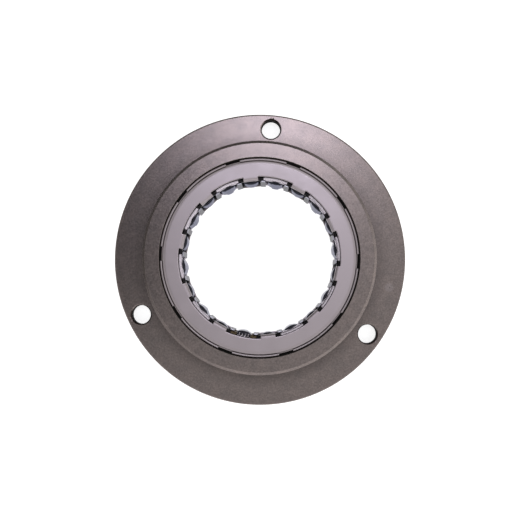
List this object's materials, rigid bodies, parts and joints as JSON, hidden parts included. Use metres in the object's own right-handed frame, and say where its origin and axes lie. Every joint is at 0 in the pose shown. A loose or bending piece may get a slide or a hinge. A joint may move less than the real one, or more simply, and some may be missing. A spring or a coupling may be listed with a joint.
{
  "type": "sprag clutch",
  "caption": "Flanged one-way clutch: a steel race with bolt holes in its flange and a caged ring of spring-loaded sprags that grips a hub one way only.",
  "frame": {"origin": "centre of the clutch axis at the flat back face of the flange, which is the mounting face", "axes": "+Z along the clutch axis, from the flange towards the boss; +Y from the axis to the first bolt hole"},
  "size_m": [0.109, 0.109, 0.02],
  "materials": {
    "race_steel": "blasted, hardened bearing steel, dark brownish grey",
    "brim_steel": "pressed spring steel, satin",
    "plate_steel": "pressed steel, smooth satin",
    "finger_steel": "pressed steel, tumbled bright",
    "sprag_steel": "hardened bearing steel, polished by tumbling",
    "spring_steel": "bright drawn spring wire",
    "tinted_steel": "spring wire tinted brown by heat"
  },
  "bodies": {
    "race": {"outer_race": "race_steel"},
    "cartridge": {"outer_cage": "brim_steel", "inner_cage": "finger_steel", "front_plate": "plate_steel", "rear_plate": "plate_steel", "front_spring": "spring_steel", "front_spring_joint": "tinted_steel", "rear_spring": "spring_steel", "rear_spring_joint": "tinted_steel"},
    "sprag_01": {"sprag_01": "sprag_steel"},
    "sprag_02": {"sprag_02": "sprag_steel"},
    "sprag_03": {"sprag_03": "sprag_steel"},
    "sprag_04": {"sprag_04": "sprag_steel"},
    "sprag_05": {"sprag_05": "sprag_steel"},
    "sprag_06": {"sprag_06": "sprag_steel"},
    "sprag_07": {"sprag_07": "sprag_steel"},
    "sprag_08": {"sprag_08": "sprag_steel"},
    "sprag_09": {"sprag_09": "sprag_steel"},
    "sprag_10": {"sprag_10": "sprag_steel"},
    "sprag_11": {"sprag_11": "sprag_steel"},
    "sprag_12": {"sprag_12": "sprag_steel"},
    "sprag_13": {"sprag_13": "sprag_steel"},
    "sprag_14": {"sprag_14": "sprag_steel"},
    "sprag_15": {"sprag_15": "sprag_steel"},
    "sprag_16": {"sprag_16": "sprag_steel"},
    "sprag_17": {"sprag_17": "sprag_steel"},
    "sprag_18": {"sprag_18": "sprag_steel"},
    "sprag_19": {"sprag_19": "sprag_steel"},
    "sprag_20": {"sprag_20": "sprag_steel"}
  },
  "joints": [
    {"name": "cartridge_spin", "type": "hinge", "parent": "race", "child": "cartridge", "pos_m": [0, 0, 0.01], "axis": [0, 0, 1], "continuous": true},
    {"name": "sprag_01_rock", "type": "hinge", "parent": "cartridge", "child": "sprag_01", "pos_m": [0.03046, 0.00421, 0.01], "axis": [0, 0, 1], "range_deg": [-5, 0], "stiffness_Nm_per_rad": 0.02, "springref_deg": 5.73},
    {"name": "sprag_02_rock", "type": "hinge", "parent": "cartridge", "child": "sprag_02", "pos_m": [0.02789, 0.01353, 0.01], "axis": [0, 0, 1], "range_deg": [-5, 0], "stiffness_Nm_per_rad": 0.02, "springref_deg": 5.73},
    {"name": "sprag_03_rock", "type": "hinge", "parent": "cartridge", "child": "sprag_03", "pos_m": [0.02217, 0.02131, 0.01], "axis": [0, 0, 1], "range_deg": [-5, 0], "stiffness_Nm_per_rad": 0.02, "springref_deg": 5.73},
    {"name": "sprag_04_rock", "type": "hinge", "parent": "cartridge", "child": "sprag_04", "pos_m": [0.01461, 0.02734, 0.01], "axis": [0, 0, 1], "range_deg": [-5, 0], "stiffness_Nm_per_rad": 0.02, "springref_deg": 5.73},
    {"name": "sprag_05_rock", "type": "hinge", "parent": "cartridge", "child": "sprag_05", "pos_m": [0.0054, 0.03027, 0.01], "axis": [0, 0, 1], "range_deg": [-5, 0], "stiffness_Nm_per_rad": 0.02, "springref_deg": 5.73},
    {"name": "sprag_06_rock", "type": "hinge", "parent": "cartridge", "child": "sprag_06", "pos_m": [-0.00425, 0.03071, 0.01], "axis": [0, 0, 1], "range_deg": [-5, 0], "stiffness_Nm_per_rad": 0.02, "springref_deg": 5.73},
    {"name": "sprag_07_rock", "type": "hinge", "parent": "cartridge", "child": "sprag_07", "pos_m": [-0.01342, 0.02767, 0.01], "axis": [0, 0, 1], "range_deg": [-5, 0], "stiffness_Nm_per_rad": 0.02, "springref_deg": 5.73},
    {"name": "sprag_08_rock", "type": "hinge", "parent": "cartridge", "child": "sprag_08", "pos_m": [-0.02149, 0.02235, 0.01], "axis": [0, 0, 1], "range_deg": [-5, 0], "stiffness_Nm_per_rad": 0.02, "springref_deg": 5.73},
    {"name": "sprag_09_rock", "type": "hinge", "parent": "cartridge", "child": "sprag_09", "pos_m": [-0.02712, 0.01449, 0.01], "axis": [0, 0, 1], "range_deg": [-5, 0], "stiffness_Nm_per_rad": 0.02, "springref_deg": 5.73},
    {"name": "sprag_10_rock", "type": "hinge", "parent": "cartridge", "child": "sprag_10", "pos_m": [-0.03052, 0.00545, 0.01], "axis": [0, 0, 1], "range_deg": [-5, 0], "stiffness_Nm_per_rad": 0.02, "springref_deg": 5.73},
    {"name": "sprag_11_rock", "type": "hinge", "parent": "cartridge", "child": "sprag_11", "pos_m": [-0.03046, -0.00421, 0.01], "axis": [0, 0, 1], "range_deg": [-5, 0], "stiffness_Nm_per_rad": 0.02, "springref_deg": 5.73},
    {"name": "sprag_12_rock", "type": "hinge", "parent": "cartridge", "child": "sprag_12", "pos_m": [-0.02789, -0.01353, 0.01], "axis": [0, 0, 1], "range_deg": [-5, 0], "stiffness_Nm_per_rad": 0.02, "springref_deg": 5.73},
    {"name": "sprag_13_rock", "type": "hinge", "parent": "cartridge", "child": "sprag_13", "pos_m": [-0.02217, -0.02131, 0.01], "axis": [0, 0, 1], "range_deg": [-5, 0], "stiffness_Nm_per_rad": 0.02, "springref_deg": 5.73},
    {"name": "sprag_14_rock", "type": "hinge", "parent": "cartridge", "child": "sprag_14", "pos_m": [-0.01461, -0.02734, 0.01], "axis": [0, 0, 1], "range_deg": [-5, 0], "stiffness_Nm_per_rad": 0.02, "springref_deg": 5.73},
    {"name": "sprag_15_rock", "type": "hinge", "parent": "cartridge", "child": "sprag_15", "pos_m": [-0.0054, -0.03027, 0.01], "axis": [0, 0, 1], "range_deg": [-5, 0], "stiffness_Nm_per_rad": 0.02, "springref_deg": 5.73},
    {"name": "sprag_16_rock", "type": "hinge", "parent": "cartridge", "child": "sprag_16", "pos_m": [0.00425, -0.03071, 0.01], "axis": [0, 0, 1], "range_deg": [-5, 0], "stiffness_Nm_per_rad": 0.02, "springref_deg": 5.73},
    {"name": "sprag_17_rock", "type": "hinge", "parent": "cartridge", "child": "sprag_17", "pos_m": [0.01342, -0.02767, 0.01], "axis": [0, 0, 1], "range_deg": [-5, 0], "stiffness_Nm_per_rad": 0.02, "springref_deg": 5.73},
    {"name": "sprag_18_rock", "type": "hinge", "parent": "cartridge", "child": "sprag_18", "pos_m": [0.02149, -0.02235, 0.01], "axis": [0, 0, 1], "range_deg": [-5, 0], "stiffness_Nm_per_rad": 0.02, "springref_deg": 5.73},
    {"name": "sprag_19_rock", "type": "hinge", "parent": "cartridge", "child": "sprag_19", "pos_m": [0.02712, -0.01449, 0.01], "axis": [0, 0, 1], "range_deg": [-5, 0], "stiffness_Nm_per_rad": 0.02, "springref_deg": 5.73},
    {"name": "sprag_20_rock", "type": "hinge", "parent": "cartridge", "child": "sprag_20", "pos_m": [0.03052, -0.00545, 0.01], "axis": [0, 0, 1], "range_deg": [-5, 0], "stiffness_Nm_per_rad": 0.02, "springref_deg": 5.73}
  ],
  "couplings": [
    {"joint": "sprag_02_rock", "follows": "sprag_01_rock", "ratio": 1},
    {"joint": "sprag_03_rock", "follows": "sprag_01_rock", "ratio": 1},
    {"joint": "sprag_04_rock", "follows": "sprag_01_rock", "ratio": 1},
    {"joint": "sprag_05_rock", "follows": "sprag_01_rock", "ratio": 1},
    {"joint": "sprag_06_rock", "follows": "sprag_01_rock", "ratio": 1},
    {"joint": "sprag_07_rock", "follows": "sprag_01_rock", "ratio": 1},
    {"joint": "sprag_08_rock", "follows": "sprag_01_rock", "ratio": 1},
    {"joint": "sprag_09_rock", "follows": "sprag_01_rock", "ratio": 1},
    {"joint": "sprag_10_rock", "follows": "sprag_01_rock", "ratio": 1},
    {"joint": "sprag_11_rock", "follows": "sprag_01_rock", "ratio": 1},
    {"joint": "sprag_12_rock", "follows": "sprag_01_rock", "ratio": 1},
    {"joint": "sprag_13_rock", "follows": "sprag_01_rock", "ratio": 1},
    {"joint": "sprag_14_rock", "follows": "sprag_01_rock", "ratio": 1},
    {"joint": "sprag_15_rock", "follows": "sprag_01_rock", "ratio": 1},
    {"joint": "sprag_16_rock", "follows": "sprag_01_rock", "ratio": 1},
    {"joint": "sprag_17_rock", "follows": "sprag_01_rock", "ratio": 1},
    {"joint": "sprag_18_rock", "follows": "sprag_01_rock", "ratio": 1},
    {"joint": "sprag_19_rock", "follows": "sprag_01_rock", "ratio": 1},
    {"joint": "sprag_20_rock", "follows": "sprag_01_rock", "ratio": 1}
  ]
}
